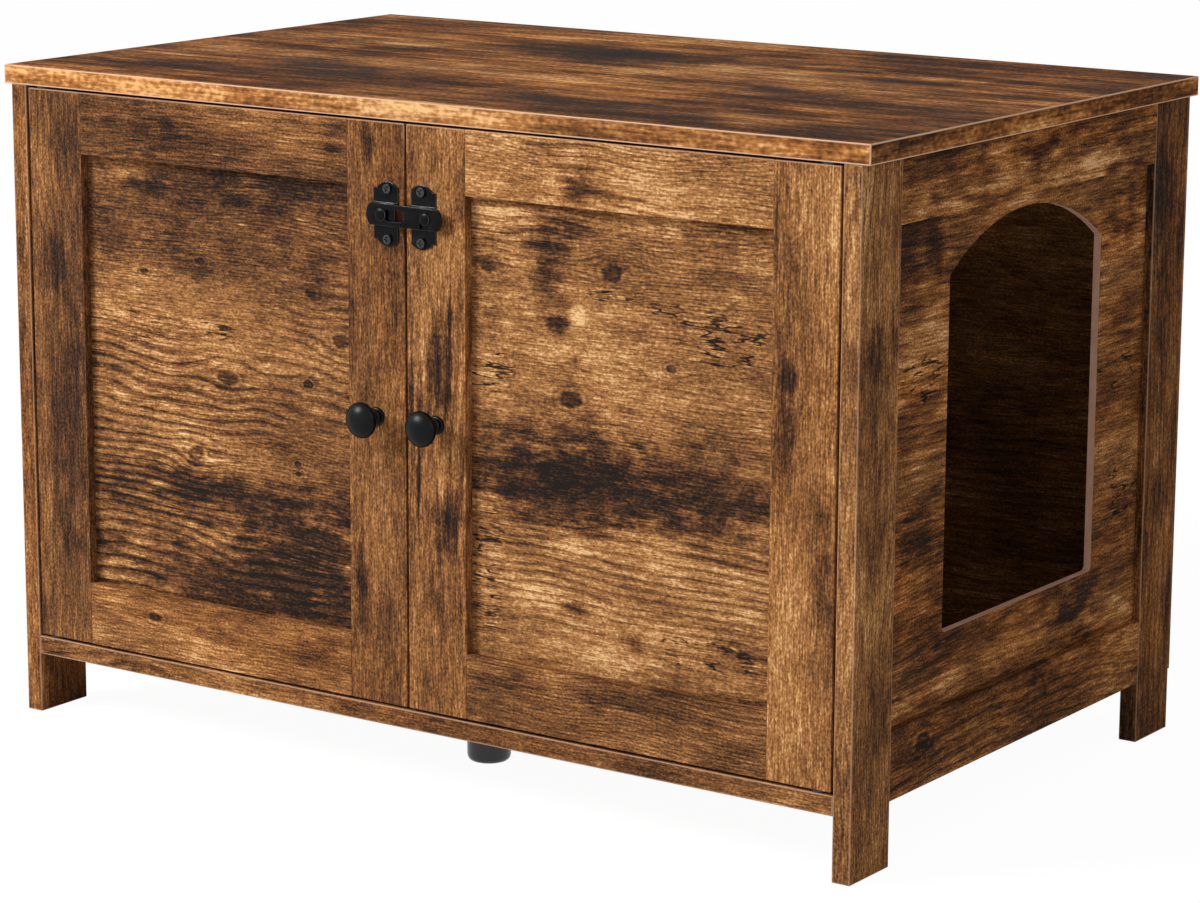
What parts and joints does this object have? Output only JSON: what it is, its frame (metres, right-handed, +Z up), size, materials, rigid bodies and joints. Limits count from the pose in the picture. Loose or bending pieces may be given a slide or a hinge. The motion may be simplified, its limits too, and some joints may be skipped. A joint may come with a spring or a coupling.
{
  "type": "cat litter box cabinet",
  "caption": "Free-standing cat litter box cabinet in rustic brown wood-effect board, with two inset frame doors, black knobs, a black bar latch and an arched cat entrance in its right side.",
  "frame": {"origin": "Under the middle of the cabinet, knobs included, on the floor", "axes": "X right as seen from the front, Y to the back, Z up"},
  "size_m": [0.8, 0.5254, 0.53],
  "materials": {
    "wood_board": "satin rustic brown wood-effect laminate",
    "dowel_wood": "bare beech",
    "black_plastic": "matte black",
    "zinc": "die-cast zinc",
    "steel": "zinc-plated steel",
    "magnet": "nickel-plated magnet",
    "knob_black": "satin black paint",
    "latch_black": "semi-gloss black coating"
  },
  "bodies": {
    "cabinet": {"top_board": "wood_board", "bottom_board": "wood_board", "back_panel": "wood_board", "left_front_leg": "wood_board", "left_rear_leg": "wood_board", "left_top_rail": "wood_board", "left_bottom_rail": "wood_board", "left_side_panel": "wood_board", "right_front_leg": "wood_board", "right_rear_leg": "wood_board", "right_top_rail": "wood_board", "right_bottom_rail": "wood_board", "right_side_panel": "wood_board", "centre_foot": "black_plastic", "centre_foot_screw": "steel", "cam_locks": "zinc", "cam_bolts": "steel", "wood_dowels": "dowel_wood", "back_panel_screws": "steel", "door_pivot_bushes": "black_plastic", "magnetic_catch": "black_plastic", "catch_magnets": "magnet", "catch_screws": "steel"},
    "left_door": {"left_door_hinge_stile": "wood_board", "left_door_latch_stile": "wood_board", "left_door_top_rail": "wood_board", "left_door_bottom_rail": "wood_board", "left_door_panel": "wood_board", "left_door_dowels": "dowel_wood", "left_door_pivot_pins": "steel", "left_door_knob": "knob_black", "left_door_knob_screw": "steel", "left_strike_plate": "steel", "left_strike_plate_screw": "steel", "latch_base_plate": "latch_black", "latch_base_screws": "latch_black", "latch_rivet": "latch_black"},
    "right_door": {"right_door_hinge_stile": "wood_board", "right_door_latch_stile": "wood_board", "right_door_top_rail": "wood_board", "right_door_bottom_rail": "wood_board", "right_door_panel": "wood_board", "right_door_dowels": "dowel_wood", "right_door_pivot_pins": "steel", "right_door_knob": "knob_black", "right_door_knob_screw": "steel", "right_strike_plate": "steel", "right_strike_plate_screw": "steel", "latch_keeper_plate": "latch_black", "latch_keeper_screws": "latch_black", "latch_stud": "latch_black"},
    "latch_bar": {"latch_bar": "latch_black"}
  },
  "joints": [
    {"name": "left_door_hinge", "type": "hinge", "parent": "cabinet", "child": "left_door", "pos_m": [-0.364, -0.22975, 0.2895], "axis": [0, 0, -1], "range_deg": [0, 110]},
    {"name": "right_door_hinge", "type": "hinge", "parent": "cabinet", "child": "right_door", "pos_m": [0.364, -0.22975, 0.2895], "axis": [0, 0, 1], "range_deg": [0, 110]},
    {"name": "latch_bar_pivot", "type": "hinge", "parent": "left_door", "child": "latch_bar", "pos_m": [-0.0183, -0.2418, 0.4445], "axis": [0, -1, 0], "range_deg": [0, 90]}
  ]
}
